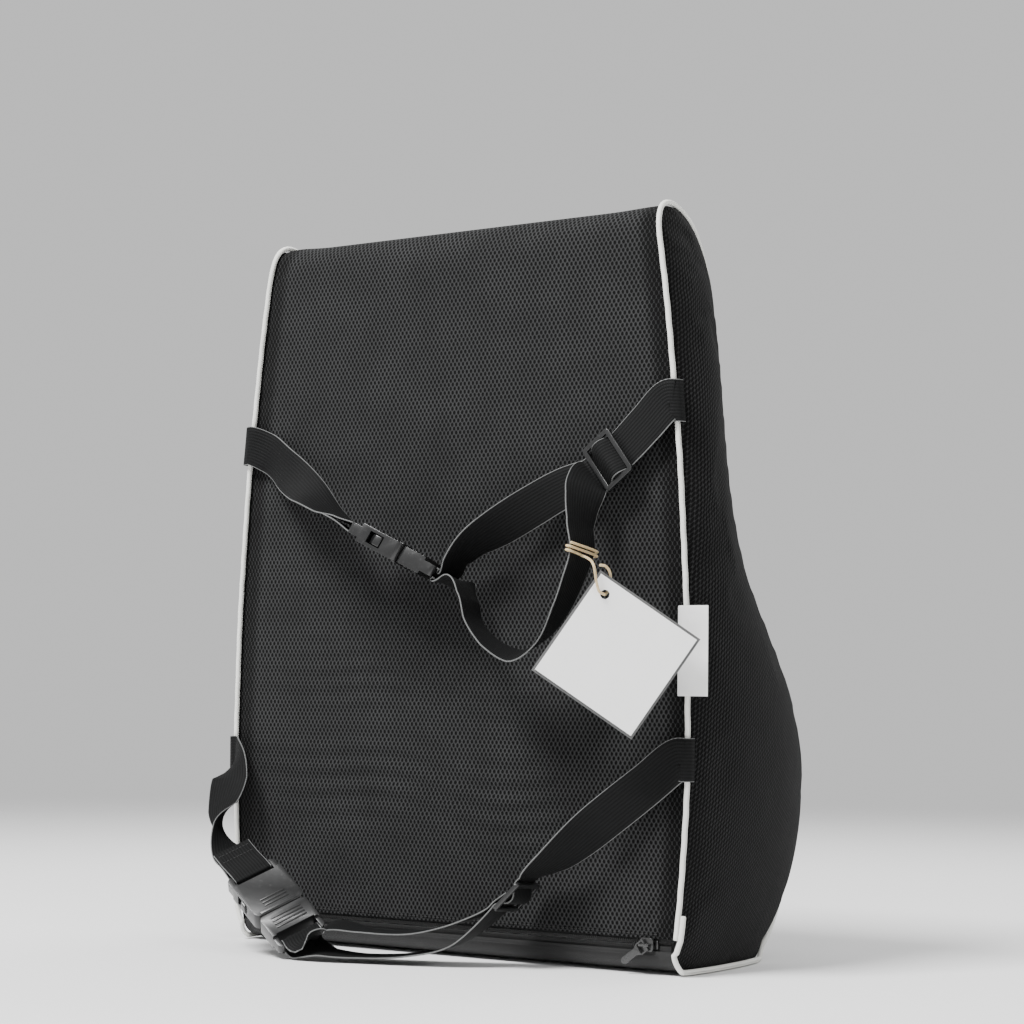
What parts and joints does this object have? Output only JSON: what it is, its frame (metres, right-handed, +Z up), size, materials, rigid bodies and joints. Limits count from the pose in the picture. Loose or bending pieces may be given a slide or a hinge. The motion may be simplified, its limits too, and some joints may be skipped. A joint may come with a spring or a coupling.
{
  "type": "lumbar support cushion",
  "caption": "Contoured lumbar support cushion with a foam core, zipped spacer-mesh cover, piped sides and adjustable webbing straps that clip round a chair back.",
  "frame": {"origin": "centre of the flat face under the cushion, on the surface that it stands on", "axes": "+Z up, along the height of the cushion; +Y from the flat strap side to the belly that meets the user; +X to the right when looking at the strap side"},
  "size_m": [0.3754, 0.2425, 0.4541],
  "materials": {
    "foam": "soft cream polyurethane foam",
    "liner": "thin white knitted jersey",
    "mesh_cloth": "charcoal spacer mesh with rows of small oval holes",
    "base_cloth": "smooth dark woven polyester",
    "piping": "white knitted piping cord cover",
    "zip_tape": "black woven zip tape",
    "zip_coil": "black nylon coil",
    "zip_metal": "black enamelled zinc",
    "webbing": "black ribbed elastic webbing with pale grey selvedges",
    "acetal": "dark grey moulded acetal, lightly glossy",
    "label": "blank white woven satin",
    "card": "blank white paper card",
    "card_backing": "grey paper board",
    "rubber_band": "tan natural rubber"
  },
  "bodies": {
    "cushion": {"foam_core": "foam", "inner_liner": "liner", "cover_wrap_panel": "mesh_cloth", "cover_base_panel": "base_cloth", "cover_side_left": "mesh_cloth", "cover_side_right": "mesh_cloth", "piping_left": "piping", "piping_right": "piping", "zip_tape_upper": "zip_tape", "zip_tape_lower": "zip_tape", "zip_coil_upper": "zip_coil", "zip_coil_lower": "zip_coil", "zip_stop_left": "zip_metal", "zip_stop_right": "zip_metal", "upper_buckle_female": "acetal", "upper_strap_left": "webbing", "upper_strap_right": "webbing", "lower_buckle_male": "acetal", "lower_strap_left": "webbing", "lower_strap_right": "webbing", "side_label": "label", "hang_tag_band": "rubber_band"},
    "zip_slider": {"zip_slider": "zip_metal"},
    "zip_pull": {"zip_pull": "zip_metal"},
    "upper_male": {"upper_buckle_male": "acetal"},
    "upper_prong_a": {"upper_prong_a": "acetal"},
    "upper_prong_b": {"upper_prong_b": "acetal"},
    "lower_female": {"lower_buckle_female": "acetal"},
    "lower_prong_a": {"lower_prong_a": "acetal"},
    "lower_prong_b": {"lower_prong_b": "acetal"},
    "upper_adjuster": {"upper_adjuster": "acetal"},
    "lower_adjuster": {"lower_adjuster": "acetal"},
    "hang_tag": {"hang_tag_card": "card", "hang_tag_backing": "card_backing"}
  },
  "joints": [
    {"name": "zip_slide", "type": "slide", "parent": "cushion", "child": "zip_slider", "axis": [1, 0, 0], "range_m": [-0.285, 0]},
    {"name": "zip_pull_hinge", "type": "hinge", "parent": "zip_slider", "child": "zip_pull", "pos_m": [0.1465, -0.0654, 0.0169], "axis": [-0.5736, 0, 0.8192], "range_deg": [0, 150]},
    {"name": "upper_release", "type": "slide", "parent": "cushion", "child": "upper_male", "axis": [0.8765, 0.1889, -0.4428], "range_m": [0, 0.028], "deforming": ["upper_strap_right", "upper_prong_a", "upper_prong_b"]},
    {"name": "upper_prong_a_flex", "type": "hinge", "parent": "upper_male", "child": "upper_prong_a", "pos_m": [-0.01505, -0.08008, 0.24057], "axis": [0.3917, 0.255, 0.8841], "range_deg": [0, 14], "stiffness_Nm_per_rad": 0.05},
    {"name": "upper_prong_b_flex", "type": "hinge", "parent": "upper_male", "child": "upper_prong_b", "pos_m": [-0.00967, -0.09828, 0.24345], "axis": [0.3917, 0.255, 0.8841], "range_deg": [-14, 0], "stiffness_Nm_per_rad": 0.05},
    {"name": "lower_release", "type": "slide", "parent": "cushion", "child": "lower_female", "axis": [-0.8014, 0.1202, 0.586], "range_m": [0, 0.028], "deforming": ["lower_strap_left", "lower_prong_a", "lower_prong_b"]},
    {"name": "lower_prong_a_flex", "type": "hinge", "parent": "cushion", "child": "lower_prong_a", "pos_m": [-0.08108, -0.13415, 0.02196], "axis": [-0.4278, 0.5696, -0.7019], "range_deg": [0, 14], "stiffness_Nm_per_rad": 0.05},
    {"name": "lower_prong_b_flex", "type": "hinge", "parent": "cushion", "child": "lower_prong_b", "pos_m": [-0.07306, -0.11853, 0.02974], "axis": [-0.4278, 0.5696, -0.7019], "range_deg": [-14, 0], "stiffness_Nm_per_rad": 0.05},
    {"name": "upper_adjust", "type": "slide", "parent": "cushion", "child": "upper_adjuster", "axis": [0.7866, 0.03, 0.6167], "range_m": [-0.02, 0.03], "deforming": ["upper_strap_right"]},
    {"name": "lower_adjust", "type": "slide", "parent": "cushion", "child": "lower_adjuster", "axis": [0.6701, 0.18, 0.7201], "range_m": [-0.015, 0.025], "deforming": ["lower_strap_right"]},
    {"name": "tag_swing", "type": "hinge", "parent": "cushion", "child": "hang_tag", "pos_m": [0.145, -0.108, 0.217], "axis": [-0.5879, 0.8089, 0], "range_deg": [-25, 25], "deforming": ["hang_tag_band"]}
  ],
  "couplings": [
    {"joint": "upper_prong_b_flex", "follows": "upper_prong_a_flex", "ratio": -1},
    {"joint": "lower_prong_b_flex", "follows": "lower_prong_a_flex", "ratio": -1}
  ]
}
